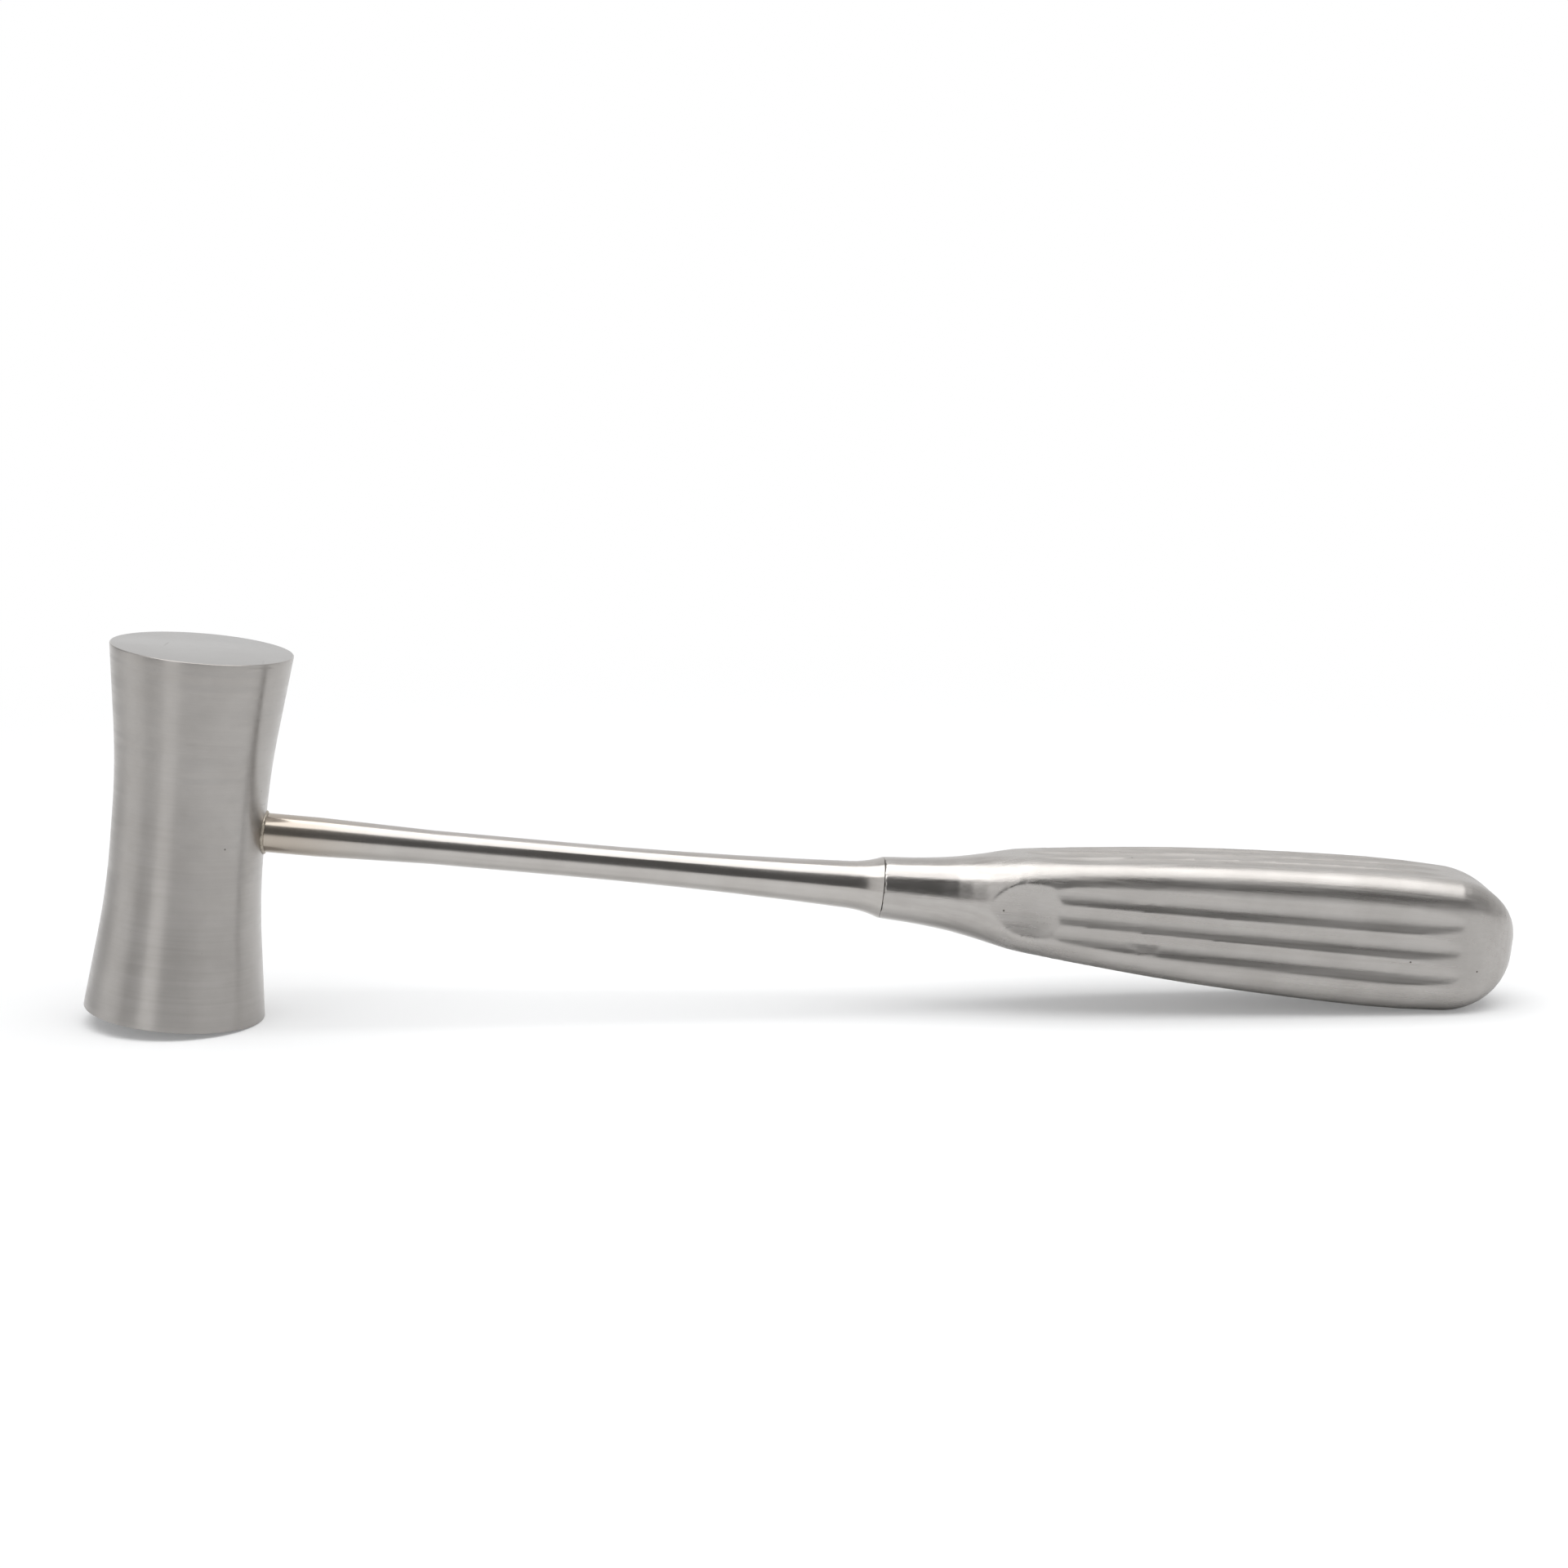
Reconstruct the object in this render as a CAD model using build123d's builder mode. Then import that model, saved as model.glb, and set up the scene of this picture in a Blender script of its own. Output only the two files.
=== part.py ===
from build123d import *
import os
from math import atan, cos, degrees, radians, sin, sqrt, tan

os.makedirs("parts", exist_ok=True)

# A surgical bone mallet in stainless steel, lying as it comes to rest: on the edge of
# its lower striking face and on the underside of its grip.
# Lengths are in millimetres. "Along" sizes are measured from the head's own axis,
# down the length of the handle, or from the collar where their comment says so.

# Head: one turned bar, waisted in the middle, with a flat striking face at each end.
head_length = 61.4
face_diameter = 30.0
waist_diameter = 25.2
waist_land = 6.0
waist_easing = 7.35
rim_break = 0.25

# Shaft: a slim round bar between the head and the handle.
shaft_rise = 0.85
root_diameter = 6.54
root_along = 21.5
slim_diameter = 5.66
slim_along = 40.5
taper_run = 47.5
flare_diameter = 7.94
flare_run = 5.6
collar_diameter = 10.36
collar_along = 115.6
spigot_depth = 14.0
tang_diameter = 5.0
tang_length = 16.0
fit_clearance = 0.03
bottom_clearance = 0.3

# Braze bead round the foot of the shaft.
bead_radius = 0.42

# Handle sections, measured from the collar: a round neck that squares up at the
# shoulder, and a grip that swells to its belly before a rounded butt.
throat_along = 5.9
throat_diameter = 11.16
neck_along = 11.5
neck_diameter = 12.44
flare_start_along = 17.1
flare_width = 14.9
flare_height = 14.3
flare_corner = 6.7
shoulder_along = 22.6
shoulder_width = 17.5
shoulder_height = 16.0
shoulder_corner = 6.0
front_along = 34.4
front_width = 19.2
front_height = 17.9
front_corner = 4.6
middle_along = 56.0
middle_width = 20.5
middle_height = 21.1
middle_corner = 4.4
belly_along = 84.4
belly_width = 20.9
belly_height = 23.4
belly_corner = 5.0
heel_along = 95.5
heel_width = 20.2
heel_height = 22.8
heel_corner = 5.0
butt_length = 13.2
butt_blunt = 6.0

# Flutes: round-bottomed grooves down each of the four sides of the grip. Those on the
# top and underside run parallel, those on the flanks spread as the grip gets taller.
flutes_each_side = 3
flute_radius = 4.2
top_pitch = 4.5
flank_pitch_front = 3.5
flank_pitch_belly = 4.3
ridge_land = 0.12
top_flute_start = 23.5
top_flute_end = 96.0
flank_flute_start = 26.0
flank_flute_end = 98.0

# Thumb rests: a shallow round dish ground across each flank of the shoulder.
thumb_along = 24.5
thumb_web = 16.1
thumb_dish_radius = 30.0
thumb_tilt = 8.5


def groove_depth(pitch):
    """Depth of a flute that leaves a narrow land between itself and the next one."""
    return flute_radius - sqrt(flute_radius**2 - ((pitch - ridge_land) / 2) ** 2)


# Width, height and corner radius of the handle at each of its stations.
stations = (
    (0, collar_diameter, collar_diameter, collar_diameter / 2),
    (throat_along, throat_diameter, throat_diameter, throat_diameter / 2),
    (neck_along, neck_diameter, neck_diameter, neck_diameter / 2),
    (flare_start_along, flare_width, flare_height, flare_corner),
    (shoulder_along, shoulder_width, shoulder_height, shoulder_corner),
    (front_along, front_width, front_height, front_corner),
    (middle_along, middle_width, middle_height, middle_corner),
    (belly_along, belly_width, belly_height, belly_corner),
    (heel_along, heel_width, heel_height, heel_corner),
)


def slope(index, item):
    """Rate of change of one size of the handle as it passes a station."""
    before = stations[max(index - 1, 0)]
    after = stations[min(index + 1, len(stations) - 1)]
    return (after[item] - before[item]) / (after[0] - before[0])


def handle_size(along, item):
    """Width (1), height (2) or corner radius (3) of the handle, eased between stations."""
    turn = sqrt(max(1 - (max(along - heel_along, 0) / butt_length) ** 2, 0))
    place = min(along, heel_along)
    index = max(i for i in range(len(stations) - 1) if stations[i][0] <= place)
    start, end = stations[index], stations[index + 1]
    run = end[0] - start[0]
    t = (place - start[0]) / run
    eased = (
        (1 + 2 * t) * (1 - t) ** 2 * start[item]
        + t**2 * (3 - 2 * t) * end[item]
        + t * (1 - t) ** 2 * run * slope(index, item)
        - t**2 * (1 - t) * run * slope(index + 1, item)
    )
    return turn * eased


# The mallet's own lines run along the handle and up the head. At rest the handle dips
# towards its butt until the underside of the grip meets the ground under the head.
foot = (face_diameter / 2 - rim_break, -head_length / 2)
neck_slices = 14
grip_slices = 10
grip_step = (heel_along - front_along) / grip_slices
butt_slices = 12
butt_step = radians(90 - butt_blunt) / butt_slices
slices = [front_along * i / neck_slices for i in range(neck_slices)]
slices += [front_along + grip_step * i for i in range(grip_slices)]
slices += [heel_along + butt_length * sin(butt_step * i) for i in range(butt_slices + 1)]
dips = [
    (shaft_rise - handle_size(along, 2) / 2 - foot[1]) / (collar_along + along - foot[0])
    for along in slices
]
rest_angle = degrees(atan(min(dips)))
dip = radians(rest_angle)

overall_along = collar_along + heel_along + butt_length * cos(radians(butt_blunt))
low_left = -face_diameter / 2 * cos(dip) - head_length / 2 * sin(dip)
far_right = overall_along * cos(dip) + shaft_rise * sin(dip)
head_height = foot[0] * sin(dip) - foot[1] * cos(dip)

# The planes that everything is drawn on. "upright" holds side outlines, with its x
# along the handle and its y up the head's axis.
mallet = Plane(
    origin=(-(low_left + far_right) / 2, 0, head_height),
    x_dir=(cos(dip), 0, -sin(dip)),
    z_dir=(sin(dip), 0, cos(dip)),
)
upright = Plane(origin=mallet.origin, x_dir=mallet.x_dir, z_dir=-mallet.y_dir)
head_axis = Axis(mallet.origin, mallet.z_dir)
shaft_origin = mallet.from_local_coords((0, 0, shaft_rise))
shaft_axis = Axis(shaft_origin, mallet.x_dir)


def across(along):
    """Plane square to the shaft at a distance from the head's axis."""
    return Plane(
        origin=mallet.from_local_coords((along, 0, shaft_rise)),
        x_dir=mallet.y_dir,
        z_dir=mallet.x_dir,
    )


# Head: a straight waist eases into a straight taper towards each face.
face_radius = face_diameter / 2
waist_radius = waist_diameter / 2
half_head = head_length / 2
bend_height = waist_land / 2 + waist_easing
taper_angle = atan((face_radius - waist_radius) / (half_head - bend_height))
with BuildPart() as head:
    with BuildSketch(upright) as side:
        with BuildLine():
            Polyline(
                (0, half_head),
                (face_radius, half_head),
                (waist_radius, bend_height),
                (waist_radius, -bend_height),
                (face_radius, -half_head),
                (0, -half_head),
                close=True,
            )
        make_face()
        bends = side.vertices().group_by(Axis.X)[1]
        fillet(bends, radius=waist_easing / tan(taper_angle / 2))
    revolve(axis=head_axis)
    chamfer(head.edges().filter_by(GeomType.CIRCLE).group_by(Edge.length)[-1], rim_break)
    with BuildSketch(across(waist_radius - spigot_depth)):
        Circle(root_diameter / 2 + fit_clearance)
    extrude(amount=2 * spigot_depth, mode=Mode.SUBTRACT)
head.part.label = "head"
export_step(head.part, "parts/head.step")

# Shaft: its root draws down to a slim stem, which tapers out again and flares to the collar.
root_radius = root_diameter / 2
slim_radius = slim_diameter / 2
flare_radius = flare_diameter / 2
flare_along = collar_along - flare_run
collar_radius = collar_diameter / 2
tang_radius = tang_diameter / 2
spigot_along = waist_radius - spigot_depth + bottom_clearance
tang_end = collar_along + tang_length
with BuildPart() as shaft:
    with BuildSketch(upright):
        with BuildLine(Location((0, shaft_rise))):
            draw = Line((root_along, root_radius), (slim_along, slim_radius))
            stem = Line(draw @ 1, (flare_along - taper_run, slim_radius))
            taper = TangentArc(stem @ 1, (flare_along, flare_radius), tangent=stem % 1)
            flare = TangentArc(taper @ 1, (collar_along, collar_radius), tangent=taper % 1)
            Polyline(
                flare @ 1,
                (collar_along, tang_radius),
                (tang_end, tang_radius),
                (tang_end, 0),
                (spigot_along, 0),
                (spigot_along, root_radius),
                draw @ 0,
            )
        make_face()
    revolve(axis=shaft_axis)
shaft.part.label = "shaft"
export_step(shaft.part, "parts/shaft.step")

# Braze bead: follows the saddle where the shaft leaves the waist of the head.
saddle_side = sqrt(waist_radius**2 - root_radius**2)
seam_top = mallet.from_local_coords((waist_radius, 0, shaft_rise + root_radius))
seam_side = mallet.from_local_coords((saddle_side, root_radius, shaft_rise))
seam_foot = mallet.from_local_coords((waist_radius, 0, shaft_rise - root_radius))
with BuildPart() as head_weld:
    with BuildLine():
        half_seam = ThreePointArc(seam_top, seam_side, seam_foot)
    with BuildSketch(Plane(origin=half_seam @ 0, z_dir=half_seam % 0)):
        Circle(bead_radius)
    sweep(path=half_seam)
    mirror(about=Plane.XZ)
    with Locations(seam_top, seam_foot):
        Sphere(bead_radius)
    add(head.part, mode=Mode.SUBTRACT)
    add(shaft.part, mode=Mode.SUBTRACT)
head_weld.part.label = "head_weld"
export_step(head_weld.part, "parts/head_weld.step")

# Handle
round_share = 0.998
run_out = 2 * flute_radius
lanes = [lane - (flutes_each_side - 1) / 2 for lane in range(flutes_each_side)]


def flank_pitch(along):
    """Spacing of the flank flutes, which grows evenly from the front to the belly."""
    share = (along - front_along) / (belly_along - front_along)
    return flank_pitch_front + share * (flank_pitch_belly - flank_pitch_front)


def flute_points(lane, item, start, end, pitch_at):
    """Where a flute's cutter goes, as (along, sideways, outwards).

    It just touches the metal at both ends and is at full depth in between.
    """
    points = []
    for along in (start, front_along, middle_along, belly_along, end):
        depth = 0 if along in (start, end) else groove_depth(pitch_at(along))
        outwards = handle_size(along, item) / 2 - depth + flute_radius
        points.append((along, lane * pitch_at(along), outwards))
    return points


def flute_path(points, sideways, outwards):
    """One long arc down the grip, with an arc and a straight run-out at each end."""
    lead, front, middle, belly, last = (
        across(collar_along + along).origin + sideways * aside + outwards * out
        for along, aside, out in points
    )
    floor = ThreePointArc(front, middle, belly)
    entry = TangentArc(front, lead, tangent=(floor % 0) * -1)
    leave = TangentArc(belly, last, tangent=floor % 1)
    before = Line(entry @ 1, entry @ 1 + (entry % 1) * run_out)
    after = Line(leave @ 1, leave @ 1 + (leave % 1) * run_out)
    return Wire([before, entry, floor, leave, after])


with BuildPart() as handle:
    for along in slices:
        width, height, corner = (handle_size(along, item) for item in (1, 2, 3))
        with BuildSketch(across(collar_along + along)):
            RectangleRounded(width, height, min(corner, round_share * min(width, height) / 2))
    loft(ruled=True)
    for sign in (-1, 1):
        for lane in lanes:
            top_points = flute_points(lane, 2, top_flute_start, top_flute_end, lambda along: top_pitch)
            flank_points = flute_points(lane, 1, flank_flute_start, flank_flute_end, flank_pitch)
            for path in (
                flute_path(top_points, mallet.y_dir, mallet.z_dir * sign),
                flute_path(flank_points, mallet.z_dir, mallet.y_dir * sign),
            ):
                with BuildSketch(Plane(origin=path @ 0, z_dir=path % 0)):
                    Circle(flute_radius)
                sweep(path=path, mode=Mode.SUBTRACT)
    for sign in (-1, 1):
        tilt = radians(thumb_tilt)
        outwards = mallet.y_dir * sign * cos(tilt) - mallet.x_dir * sin(tilt)
        web = across(collar_along + thumb_along).origin + mallet.y_dir * (sign * thumb_web / 2)
        with Locations(Location(web + outwards * thumb_dish_radius)):
            Sphere(thumb_dish_radius, mode=Mode.SUBTRACT)
    with BuildSketch(across(collar_along)):
        Circle(tang_radius + fit_clearance)
    extrude(amount=tang_length + bottom_clearance, mode=Mode.SUBTRACT)
handle.part.label = "handle"
export_step(handle.part, "parts/handle.step")
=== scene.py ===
"""Scene for a stainless steel bone mallet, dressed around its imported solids."""

from math import atan, cos, radians, sin, sqrt, tan

import bpy
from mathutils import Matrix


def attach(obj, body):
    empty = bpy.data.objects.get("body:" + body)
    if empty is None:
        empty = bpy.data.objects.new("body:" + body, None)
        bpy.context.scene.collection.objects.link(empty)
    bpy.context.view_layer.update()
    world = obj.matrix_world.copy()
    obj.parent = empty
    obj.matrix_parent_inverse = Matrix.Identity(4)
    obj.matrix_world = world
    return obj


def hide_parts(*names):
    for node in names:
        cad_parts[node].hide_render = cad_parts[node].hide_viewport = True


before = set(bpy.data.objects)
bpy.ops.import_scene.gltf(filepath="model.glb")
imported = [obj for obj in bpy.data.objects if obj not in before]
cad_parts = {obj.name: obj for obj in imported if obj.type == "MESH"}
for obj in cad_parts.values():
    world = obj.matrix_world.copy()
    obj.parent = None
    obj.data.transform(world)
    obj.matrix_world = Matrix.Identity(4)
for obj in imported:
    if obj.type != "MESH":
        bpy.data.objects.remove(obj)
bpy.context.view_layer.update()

# Head
# One turned stainless bar, waisted in the middle, with a lapped striking face at each
# end. Its side is finished on the lathe with fine abrasive, so the grain runs round it.
dip = radians(5.836399)
head_centre = (-0.102554, 0, 0.032041)
half_head = 0.0307
face_radius = 0.015
waist_radius = 0.0126
waist_land = 0.003
waist_easing = 0.00735
rim_round = 0.00022
bore_radius = 0.0033
bore_depth = 0.014
shaft_rise = 0.00085
lathe_sides = 160
rings = 44
flat_enough = 0.99
along = (cos(dip), 0, -sin(dip))
upright = (sin(dip), 0, cos(dip))
taper = atan((face_radius - waist_radius) / (half_head - waist_land - waist_easing))
waist_bend = waist_easing / tan(taper / 2)


def side_radius(height):
    """Radius of the head at a height from its middle: land, easing, then straight taper."""
    past_land = max(abs(height) - waist_land, 0)
    eased = min(past_land, waist_bend * sin(taper))
    swell = waist_bend - sqrt(waist_bend**2 - eased**2)
    return waist_radius + swell + (past_land - eased) * tan(taper)


def pick(chosen):
    """Makes one object the only selected one."""
    bpy.ops.object.select_all(action="DESELECT")
    bpy.context.view_layer.objects.active = chosen
    chosen.select_set(True)


def edit_all(mesh_object):
    """Opens one object for modelling, with all of it selected."""
    pick(mesh_object)
    bpy.ops.object.mode_set(mode="EDIT")
    bpy.ops.mesh.select_mode(type="VERT")
    bpy.ops.mesh.select_all(action="SELECT")


def settle(mesh_object):
    """Puts the object's place into its mesh."""
    pick(mesh_object)
    bpy.ops.object.transform_apply(location=True, rotation=True, scale=True)


def apply_modifier(mesh_object, kind, **settings):
    """Adds a modifier with its settings and applies it."""
    bpy.context.view_layer.objects.active = mesh_object
    modifier = mesh_object.modifiers.new(kind.lower(), kind)
    for name, value in settings.items():
        setattr(modifier, name, value)
    bpy.ops.object.modifier_apply(modifier=modifier.name)


bpy.ops.object.select_all(action="DESELECT")
bpy.ops.mesh.primitive_circle_add(
    vertices=lathe_sides, radius=face_radius, fill_type="NGON", location=(0, 0, -half_head)
)
turned_head = bpy.context.active_object
turned_head.name = "turned_head"
edit_all(turned_head)
heights = [half_head * (2 * ring / rings - 1) for ring in range(rings + 1)]
for low, high in zip(heights, heights[1:]):
    bpy.ops.mesh.extrude_region_move(TRANSFORM_OT_translate={"value": (0, 0, high - low)})
    growth = side_radius(high) / side_radius(low)
    bpy.ops.transform.resize(value=(growth, growth, 1))
bpy.ops.mesh.select_all(action="SELECT")
bpy.ops.mesh.normals_make_consistent(inside=False)
bpy.ops.object.mode_set(mode="OBJECT")
settle(turned_head)
apply_modifier(
    turned_head, "BEVEL", width=rim_round, segments=3, limit_method="ANGLE", angle_limit=radians(50)
)
bpy.ops.object.select_all(action="DESELECT")
bpy.ops.mesh.primitive_cylinder_add(
    vertices=64,
    radius=bore_radius,
    depth=2 * bore_depth,
    location=(waist_radius, 0, shaft_rise),
    rotation=(0, radians(90), 0),
)
bore = bpy.context.active_object
apply_modifier(turned_head, "BOOLEAN", object=bore, operation="DIFFERENCE", solver="EXACT")
bpy.data.objects.remove(bore)
turned_head.location = head_centre
turned_head.rotation_euler = (0, dip, 0)
settle(turned_head)
bpy.ops.object.shade_smooth_by_angle(angle=radians(30))


def add_node(tree, kind, inputs=None, **settings):
    """A new shader node, with its settings and with values or links for its inputs."""
    node = tree.nodes.new(kind)
    for name, value in settings.items():
        setattr(node, name, value)
    for name, value in (inputs or {}).items():
        if isinstance(value, bpy.types.NodeSocket):
            tree.links.new(value, node.inputs[name])
        else:
            node.inputs[name].default_value = value
    return node


def new_group(name, inputs, outputs):
    """An empty shader group with named inputs and number outputs."""
    tree = bpy.data.node_groups.new(name, "ShaderNodeTree")
    for label, value in inputs.items():
        kind = "NodeSocketFloat" if isinstance(value, float) else "NodeSocketVector"
        tree.interface.new_socket(label, in_out="INPUT", socket_type=kind).default_value = value
    for label in outputs:
        tree.interface.new_socket(label, in_out="OUTPUT", socket_type="NodeSocketFloat")
    return tree, tree.nodes.new("NodeGroupInput").outputs, tree.nodes.new("NodeGroupOutput").inputs


def stretched_noise(tree, place, stretch, detail):
    """Noise drawn out along the axes of a place, from 0 to 1."""
    spread = add_node(tree, "ShaderNodeVectorMath", {0: place, 1: stretch}, operation="MULTIPLY")
    noise = add_node(
        tree, "ShaderNodeTexNoise",
        {"Vector": spread.outputs[0], "Scale": 1.0, "Detail": detail, "Roughness": 0.6},
    )
    return noise.outputs["Fac"]


def ramp(tree, value, low, high, start=0.0, end=1.0):
    """Maps a value from one range to another, eased and held at both ends."""
    return add_node(
        tree, "ShaderNodeMapRange",
        {"Value": value, "From Min": low, "From Max": high, "To Min": start, "To Max": end},
        interpolation_type="SMOOTHSTEP",
    ).outputs["Result"]


def work_out(tree, operation, first, second):
    """A math node that joins two numbers or sockets."""
    return add_node(tree, "ShaderNodeMath", {0: first, 1: second}, operation=operation).outputs[0]


def times(tree, first, second):
    """Product of two numbers or sockets."""
    return work_out(tree, "MULTIPLY", first, second)


def plus(tree, first, second):
    """Sum of two numbers or sockets."""
    return work_out(tree, "ADD", first, second)


def mix_colours(tree, share, first, second):
    """The first colour, going over to the second as the share goes from 0 to 1."""
    mixed = add_node(tree, "ShaderNodeMix", {"Factor": share, "A": first, "B": second}, data_type="RGBA")
    return mixed.outputs["Result"]


# The brushed grain that every worked surface of the mallet shows: fine lines, broader
# streaks and cloudy patches.
grain_group, given, made = new_group(
    "brushed_grain",
    {"Place": (0, 0, 0), "Lines": (60, 60, 5000), "Streaks": (30, 30, 900), "Patches": 130.0},
    ["Fine", "Streak", "Patch"],
)
fine = stretched_noise(grain_group, given["Place"], given["Lines"], 3.0)
grain_group.links.new(fine, made["Fine"])
streak = stretched_noise(grain_group, given["Place"], given["Streaks"], 4.0)
grain_group.links.new(ramp(grain_group, streak, 0.3, 0.7), made["Streak"])
patch = add_node(
    grain_group, "ShaderNodeTexNoise",
    {"Vector": given["Place"], "Scale": given["Patches"], "Detail": 5.0, "Roughness": 0.6},
)
grain_group.links.new(ramp(grain_group, patch.outputs["Fac"], 0.3, 0.7), made["Patch"])

# The marks of use: bent scratches where the steel is worn, and a few small pits.
marks_group, given, made = new_group(
    "use_marks",
    {"Place": (0, 0, 0), "Scratches": (900, 900, 90), "Pits": 420.0},
    ["Scratch", "Pit"],
)
wander = add_node(
    marks_group, "ShaderNodeTexNoise", {"Vector": given["Place"], "Scale": 60.0, "Detail": 2.0}
)
bent = add_node(
    marks_group, "ShaderNodeVectorMath",
    {0: wander.outputs["Color"], 1: (0.004, 0.004, 0.004), 2: given["Place"]}, operation="MULTIPLY_ADD",
)
scratch_line = stretched_noise(marks_group, bent.outputs[0], given["Scratches"], 1.0)
sharp_line = ramp(marks_group, scratch_line, 0.725, 0.76)
worn_here = add_node(
    marks_group, "ShaderNodeTexNoise", {"Vector": given["Place"], "Scale": 75.0, "Detail": 2.0}
)
worn = ramp(marks_group, worn_here.outputs["Fac"], 0.5, 0.62)
marks_group.links.new(times(marks_group, sharp_line, worn), made["Scratch"])
cells = add_node(
    marks_group, "ShaderNodeTexVoronoi",
    {"Vector": given["Place"], "Scale": given["Pits"], "Randomness": 1.0},
)
small = ramp(marks_group, cells.outputs["Distance"], 0.05, 0.09, 1.0, 0.0)
chosen = add_node(marks_group, "ShaderNodeSeparateColor", {"Color": cells.outputs["Color"]})
few = ramp(marks_group, chosen.outputs["Red"], 0.93, 0.95)
marks_group.links.new(times(marks_group, small, few), made["Pit"])


streak_share = 0.55
patch_share = 0.45
pit_colour = (0.12, 0.11, 0.1, 1)
scratch_dulling = 0.12
scratch_depth = -2.0
pit_depth = -6.0


def steel(
    name, dark, light, roughness, lines, streaks, scratches, relief, ripple, anisotropy=0.0, turn=0.0
):
    """Worked stainless steel, painted by the mallet's own axes.

    Its colour and roughness follow the grain, which also stands in fine relief. Ripple is
    how high the broad streaks stand against the fine lines, and the depths of scratches
    and pits are in the same measure. Anisotropy and turn draw its highlights out.
    """
    material = bpy.data.materials.new(name)
    material.use_nodes = True
    tree = material.node_tree
    shader = tree.nodes["Principled BSDF"]
    shader.inputs["Metallic"].default_value = 1.0
    shader.inputs["Anisotropic"].default_value = anisotropy
    shader.inputs["Anisotropic Rotation"].default_value = turn
    place = add_node(tree, "ShaderNodeTexCoord")
    own = add_node(
        tree, "ShaderNodeMapping",
        {"Vector": place.outputs["Object"], "Location": head_centre, "Rotation": (0, dip, 0)},
        vector_type="TEXTURE",
    ).outputs["Vector"]
    grain = add_node(tree, "ShaderNodeGroup", node_tree=grain_group)
    marks = add_node(tree, "ShaderNodeGroup", node_tree=marks_group)
    tree.links.new(own, grain.inputs["Place"])
    tree.links.new(own, marks.inputs["Place"])
    grain.inputs["Lines"].default_value = lines
    grain.inputs["Streaks"].default_value = streaks
    marks.inputs["Scratches"].default_value = scratches
    fine, streak, patch = (grain.outputs[label] for label in ("Fine", "Streak", "Patch"))
    scratch, pit = marks.outputs["Scratch"], marks.outputs["Pit"]
    tone = plus(tree, times(tree, streak, streak_share), times(tree, patch, patch_share))
    shade = mix_colours(tree, tone, dark, light)
    tree.links.new(mix_colours(tree, pit, shade, pit_colour), shader.inputs["Base Color"])
    brushed = ramp(tree, streak, 0.0, 1.0, roughness[0], roughness[1])
    tree.links.new(plus(tree, brushed, times(tree, scratch, scratch_dulling)), shader.inputs["Roughness"])
    dents = plus(tree, times(tree, scratch, scratch_depth), times(tree, pit, pit_depth))
    brushing = plus(tree, fine, times(tree, streak, ripple))
    height = plus(tree, brushing, dents)
    bump = add_node(tree, "ShaderNodeBump", {"Strength": 1.0, "Distance": relief, "Height": height})
    tree.links.new(bump.outputs["Normal"], shader.inputs["Normal"])
    return material


def lay_grain(material, direction):
    """Stretches a metal's highlights along one direction, across its grain."""
    tree = material.node_tree
    way = add_node(tree, "ShaderNodeCombineXYZ", dict(zip("XYZ", direction)))
    tree.links.new(way.outputs[0], tree.nodes["Principled BSDF"].inputs["Tangent"])


turned_side = steel(
    "turned_side",
    dark=(0.385, 0.366, 0.348, 1),
    light=(0.46, 0.442, 0.425, 1),
    roughness=(0.3, 0.38),
    lines=(50, 50, 4200),
    streaks=(40, 40, 1100),
    scratches=(90, 90, 1500),
    relief=0.000003,
    ripple=0.4,
    anisotropy=0.96,
)
lay_grain(turned_side, upright)
lapped_face = steel(
    "lapped_face",
    dark=(0.385, 0.377, 0.37, 1),
    light=(0.415, 0.407, 0.4, 1),
    roughness=(0.3, 0.36),
    lines=(2600, 2600, 2600),
    streaks=(90, 90, 90),
    scratches=(900, 90, 90),
    relief=0.0000005,
    ripple=0.0,
)
turned_head.data.materials.append(turned_side)
turned_head.data.materials.append(lapped_face)
for face in turned_head.data.polygons:
    rise = face.normal.x * upright[0] + face.normal.z * upright[2]
    if abs(rise) > flat_enough:
        face.material_index = 1
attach(turned_head, "root")
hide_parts("head")

# Shaft
# A slim round bar, polished along its length, that swells to a collar at the handle.
# Its foot is let into the head's bore and its tang into the handle. Brazing has left it
# straw-coloured beside the head.
heat_start = 0.0125
heat_end = 0.036
heat_strength = 0.75
heat_colour = (0.4, 0.345, 0.285, 1)


def tint(material, mask, colour):
    """Lays a colour over a metal where a mask is white."""
    tree = material.node_tree
    base = tree.nodes["Principled BSDF"].inputs["Base Color"]
    tree.links.new(mix_colours(tree, mask, base.links[0].from_socket, colour), base)


def own_axes(material):
    """Place along the mallet, across it and up its head, measured from the head's middle."""
    tree = material.node_tree
    mapping = next(node for node in tree.nodes if node.bl_idname == "ShaderNodeMapping")
    return tree, add_node(tree, "ShaderNodeSeparateXYZ", {0: mapping.outputs["Vector"]}).outputs


polished_bar = steel(
    "polished_bar",
    dark=(0.39, 0.37, 0.35, 1),
    light=(0.48, 0.46, 0.44, 1),
    roughness=(0.13, 0.22),
    lines=(40, 3200, 3200),
    streaks=(12, 700, 700),
    scratches=(60, 1200, 1200),
    relief=0.0000015,
    ripple=2.0,
    anisotropy=0.5,
    turn=0.25,
)
lay_grain(polished_bar, along)
tree, axes = own_axes(polished_bar)
heated = ramp(tree, axes["X"], heat_start, heat_end, heat_strength, 0.0)
tint(polished_bar, heated, heat_colour)
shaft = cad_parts["shaft"]
shaft.data.materials.clear()
shaft.data.materials.append(polished_bar)

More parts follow.
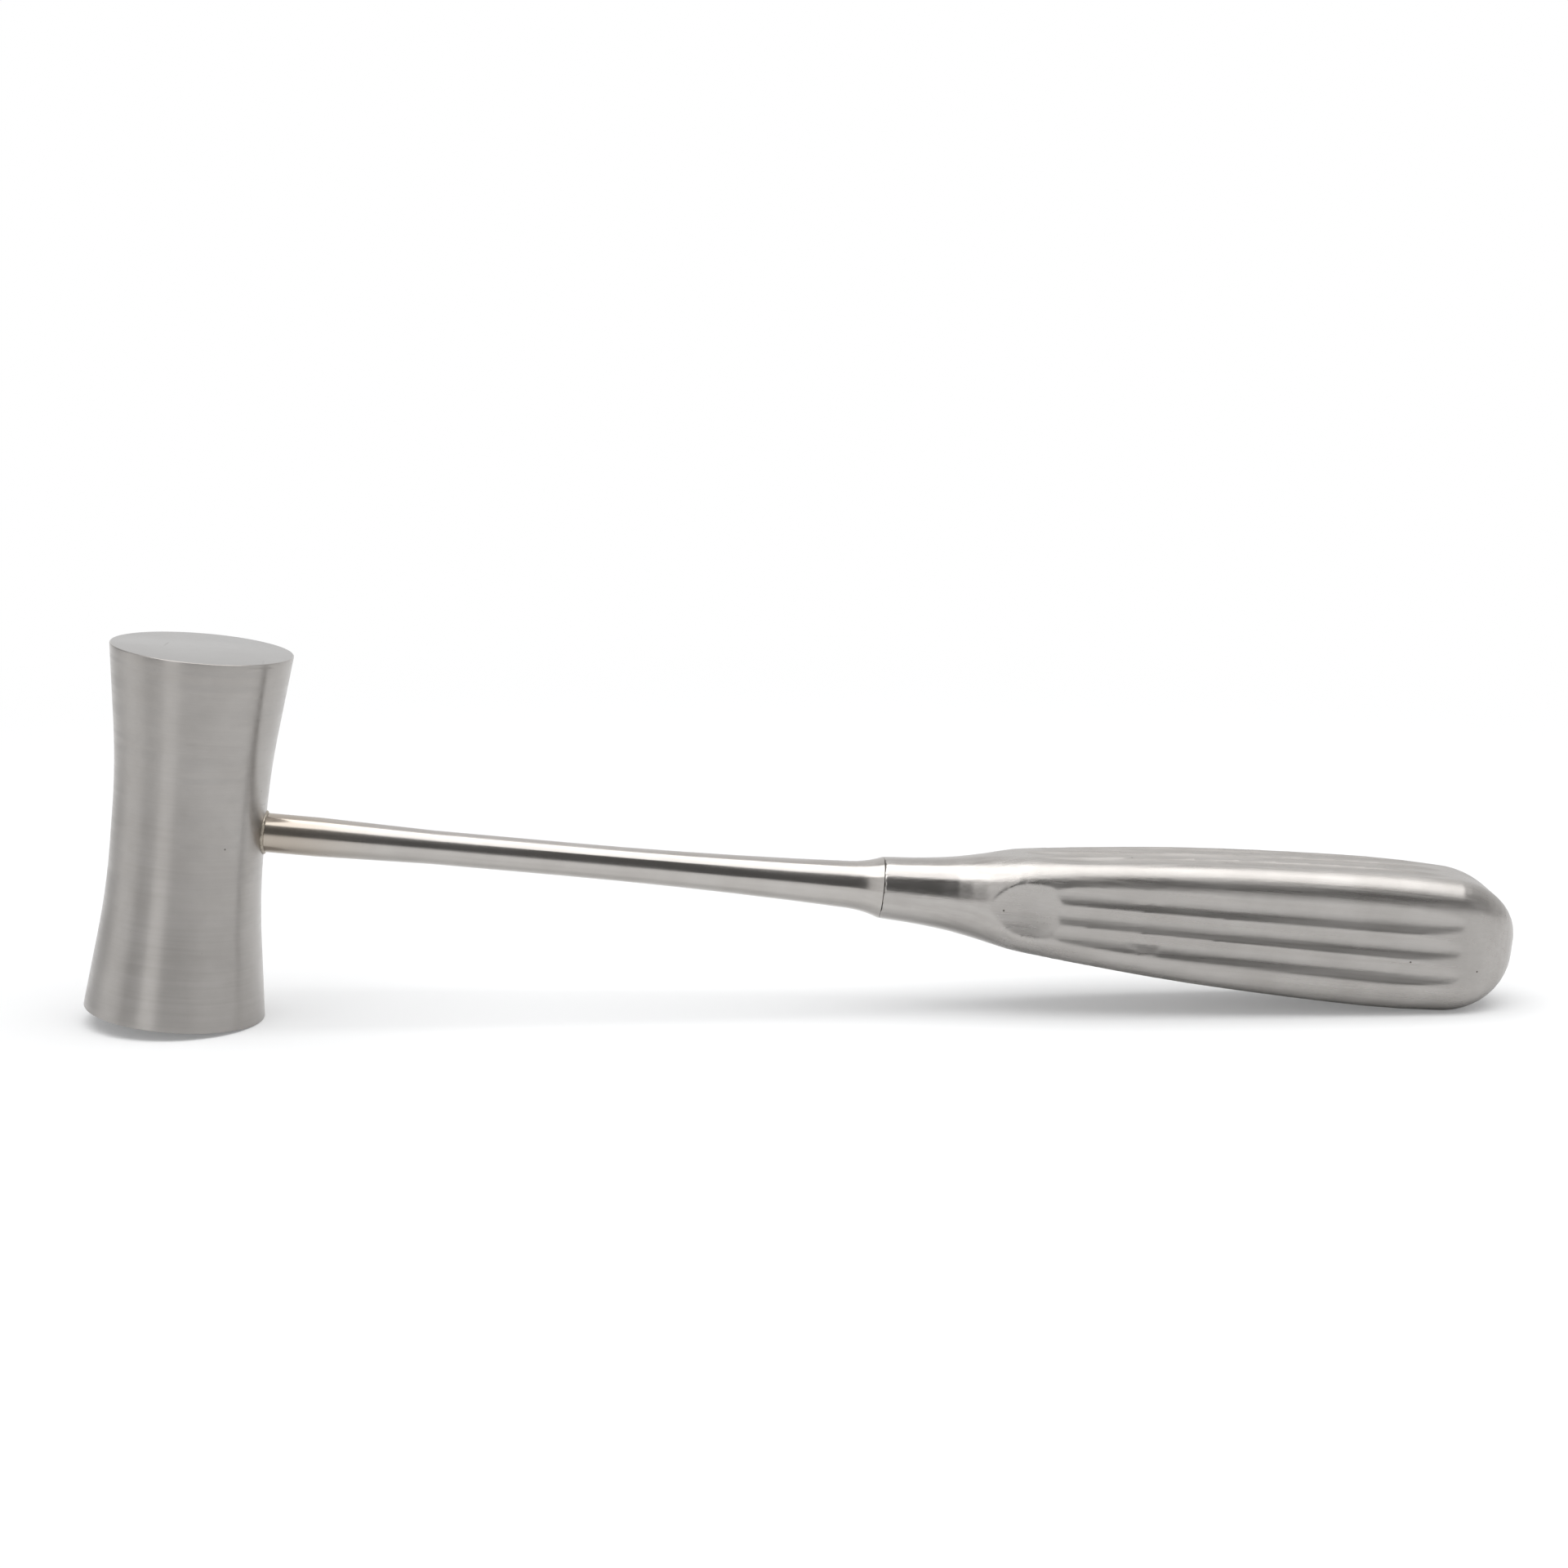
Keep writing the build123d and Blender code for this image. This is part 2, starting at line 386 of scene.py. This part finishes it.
# Braze bead
# Filler metal run round the foot of the shaft to hold it in the head. It is left as it
# flowed, blotched dark and straw-coloured.
filler_metal = steel(
    "filler_metal",
    dark=(0.1, 0.085, 0.07, 1),
    light=(0.5, 0.45, 0.38, 1),
    roughness=(0.25, 0.45),
    lines=(1500, 1500, 1500),
    streaks=(1100, 1100, 1100),
    scratches=(60, 1200, 1200),
    relief=0.00004,
    ripple=1.0,
)
head_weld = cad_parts["head_weld"]
head_weld.data.materials.clear()
head_weld.data.materials.append(filler_metal)

# Handle
# One stainless bar: a turned neck that squares up into a grip with three milled flutes
# down each side, a thumb rest ground on each flank, and a rounded butt. Its edges are
# softened by polishing, and its neck is glossier than its grip.
neck_end = 0.126
grip_start = 0.145
neck_roughness = 0.55
weld_distance = 0.000002
flute_radius = 0.0042
cutter_run = 0.034
cutter_steps = 12
grip_voxel = 0.00033

# The cutter's middle at three places along the grip, measured from the head's axis: how
# far it is from the shaft's axis, and how far the outer flutes are from the middle one.
flute_stops = (0.15, 0.1716, 0.2)
top_centres = (0.012534, 0.014134, 0.015284)
flank_centres = (0.013445, 0.014014, 0.014093)
top_pitch = 0.0045
flank_pitches = (0.0035, 0.003846, 0.0043)


def polish(material, share):
    """Scales a metal's roughness by a share from 0 to 1."""
    tree = material.node_tree
    rough = tree.nodes["Principled BSDF"].inputs["Roughness"]
    tree.links.new(times(tree, rough.links[0].from_socket, share), rough)


fluted_steel = steel(
    "fluted_steel",
    dark=(0.368, 0.35, 0.333, 1),
    light=(0.462, 0.444, 0.427, 1),
    roughness=(0.27, 0.37),
    lines=(60, 3600, 3600),
    streaks=(22, 900, 900),
    scratches=(60, 1100, 1100),
    relief=0.0000035,
    ripple=2.0,
    anisotropy=0.6,
    turn=0.25,
)
lay_grain(fluted_steel, along)
tree, axes = own_axes(fluted_steel)
polish(fluted_steel, ramp(tree, axes["X"], neck_end, grip_start, neck_roughness, 1.0))
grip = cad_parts["handle"].copy()
grip.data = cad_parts["handle"].data.copy()
grip.name = "fluted_grip"
grip.parent = None
for label in [key for key in grip.keys() if key.startswith("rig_")]:
    del grip[label]
bpy.context.scene.collection.objects.link(grip)
edit_all(grip)
bpy.ops.mesh.remove_doubles(threshold=weld_distance)
bpy.ops.object.mode_set(mode="OBJECT")


def fair(at, values):
    """Value at one place along the grip, on the parabola through three stops."""
    total = 0
    for index, value in enumerate(values):
        weight = value
        for other in range(3):
            if other != index:
                weight *= (at - flute_stops[other]) / (flute_stops[index] - flute_stops[other])
        total += weight
    return total


def clear_flute(lane, side, lift):
    """Runs a round cutter down the last third of one flute, up to the belly.

    Side is -1 or 1 for a flute on a flank, and lift for one on the underside or the top.
    """
    line = bpy.data.curves.new("cutter", "CURVE")
    line.dimensions = "3D"
    line.bevel_depth = flute_radius
    line.bevel_resolution = 14
    line.use_fill_caps = True
    spline = line.splines.new("POLY")
    spline.points.add(cutter_steps)
    for step in range(cutter_steps + 1):
        at = flute_stops[2] - cutter_run * (1 - step / cutter_steps)
        if side:
            aside = side * fair(at, flank_centres)
            rise = lane * fair(at, flank_pitches) + shaft_rise
        else:
            aside = lane * top_pitch
            rise = lift * fair(at, top_centres) + shaft_rise
        x, z = (head_centre[axis] + at * along[axis] + rise * upright[axis] for axis in (0, 2))
        spline.points[step].co = (x, aside, z, 1)
    cutter = bpy.data.objects.new("cutter", line)
    bpy.context.scene.collection.objects.link(cutter)
    pick(cutter)
    bpy.ops.object.convert(target="MESH")
    apply_modifier(grip, "BOOLEAN", object=cutter, operation="DIFFERENCE", solver="EXACT")
    bpy.data.objects.remove(cutter)


for lane in (-1, 0, 1):
    for side, lift in ((1, 0), (-1, 0), (0, 1), (0, -1)):
        clear_flute(lane, side, lift)
apply_modifier(grip, "REMESH", mode="VOXEL", voxel_size=grip_voxel)
apply_modifier(grip, "SMOOTH", factor=0.5, iterations=2)
pick(grip)
bpy.ops.object.shade_smooth()
grip.data.materials.clear()
grip.data.materials.append(fluted_steel)
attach(grip, "root")
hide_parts("handle")

# Table
# A pale seamless surface, which keeps the mallet's soft shadow and fades to white away
# from it. It is matt, and hardly whitened where the mallet stands.
table_radius = 3.0
fade_start = 0.1
fade_end = 0.4
whitening_near = 0.2
bpy.ops.object.select_all(action="DESELECT")
bpy.ops.mesh.primitive_circle_add(vertices=96, radius=table_radius, fill_type="NGON", location=(0, 0, 0))
table = bpy.context.active_object
table.name = "table"
table_top = bpy.data.materials.new("table_top")
table_top.use_nodes = True
tree = table_top.node_tree
tree.nodes.clear()
spot = add_node(tree, "ShaderNodeTexCoord")
distance = add_node(tree, "ShaderNodeVectorMath", {0: spot.outputs["Object"]}, operation="LENGTH")
reach = distance.outputs["Value"]
path = add_node(tree, "ShaderNodeLightPath").outputs
seen = work_out(tree, "MAXIMUM", path["Is Camera Ray"], path["Is Transmission Ray"])
looked_at = times(tree, ramp(tree, reach, fade_start, fade_end, whitening_near, 1.0), seen)
mirrored_pale = times(tree, ramp(tree, reach, fade_start, fade_end), path["Is Glossy Ray"])
paleness = plus(tree, looked_at, mirrored_pale)
matt = add_node(tree, "ShaderNodeBsdfDiffuse", {"Color": (0.93, 0.93, 0.93, 1)})
pale = add_node(tree, "ShaderNodeEmission", {"Color": (1, 1, 1, 1), "Strength": 1.0})
surface = add_node(tree, "ShaderNodeMixShader", {0: paleness, 1: matt.outputs[0], 2: pale.outputs[0]})
add_node(tree, "ShaderNodeOutputMaterial", {"Surface": surface.outputs[0]})
table.data.materials.append(table_top)

# Studio
# A white sweep stands behind the mallet and on its right, softly lit strips on its left,
# and the camera's own corner is dim. The camera and anything clear see the sweep.
studio = bpy.data.worlds.new("studio")
bpy.context.scene.world = studio
studio.use_nodes = True
air = studio.node_tree
air.nodes.clear()
way = add_node(air, "ShaderNodeTexCoord")
split = add_node(air, "ShaderNodeSeparateXYZ", {0: way.outputs["Generated"]})
bearing = work_out(air, "ARCTAN2", split.outputs["X"], times(air, split.outputs["Y"], -1.0))
turn_share = add_node(
    air, "ShaderNodeMapRange",
    {"Value": bearing, "From Min": radians(-180), "From Max": radians(180), "To Min": 0.0, "To Max": 1.0},
).outputs["Result"]
strips = add_node(air, "ShaderNodeValToRGB", {"Fac": turn_share})
strips.color_ramp.interpolation = "EASE"
# Brightness by bearing in degrees, from the camera's side round to the right.
brightness = {
    -170: 1.0, -125: 0.3, -95: 1.0, -80: 0.85, -62: 0.2, -46: 0.3, -36: 1.0, -24: 0.9,
    -14: 0.2, -2: 0.15, 8: 0.3, 18: 0.2, 40: 1.0, 60: 0.75, 76: 1.0, 180: 1.0,
}
for index, (angle, level) in enumerate(brightness.items()):
    if index < 2:
        stop = strips.color_ramp.elements[index]
    else:
        stop = strips.color_ramp.elements.new(0.5)
    stop.position = (angle + 180) / 360
    stop.color = (level, level, level, 1)
path = add_node(air, "ShaderNodeLightPath").outputs
clear = work_out(air, "MAXIMUM", path["Is Camera Ray"], path["Is Transmission Ray"])
fill = add_node(air, "ShaderNodeBackground", {"Color": (0.97, 0.985, 1.0, 1), "Strength": 0.55})
around = add_node(air, "ShaderNodeBackground", {"Color": strips.outputs["Color"], "Strength": 1.0})
sweep = add_node(air, "ShaderNodeBackground", {"Color": (1, 1, 1, 1), "Strength": 1.0})
mirrored = add_node(
    air, "ShaderNodeMixShader", {0: path["Is Glossy Ray"], 1: fill.outputs[0], 2: around.outputs[0]}
)
whole = add_node(air, "ShaderNodeMixShader", {0: clear, 1: mirrored.outputs[0], 2: sweep.outputs[0]})
add_node(air, "ShaderNodeOutputWorld", {"Surface": whole.outputs[0]})

softbox = bpy.data.lights.new("top_softbox", "AREA")
softbox.shape = "RECTANGLE"
softbox.size = 1.4
softbox.size_y = 0.9
softbox.energy = 9.0
softbox_stand = bpy.data.objects.new("top_softbox", softbox)
softbox_stand.location = (0, -0.13, 0.95)
bpy.context.scene.collection.objects.link(softbox_stand)

# Camera
# Set just above the table, square to the handle, with a long lens.
lens = bpy.data.cameras.new("camera")
lens.lens = 81.8687
lens.sensor_width = 36.0
camera = bpy.data.objects.new("camera", lens)
camera.location = (-0.042806, -0.582068, 0.156819)
camera.rotation_euler = (radians(78.58044), radians(-0.24410), radians(-3.78600))
bpy.context.scene.collection.objects.link(camera)
bpy.context.scene.camera = camera
bpy.context.scene.view_settings.view_transform = "Standard"
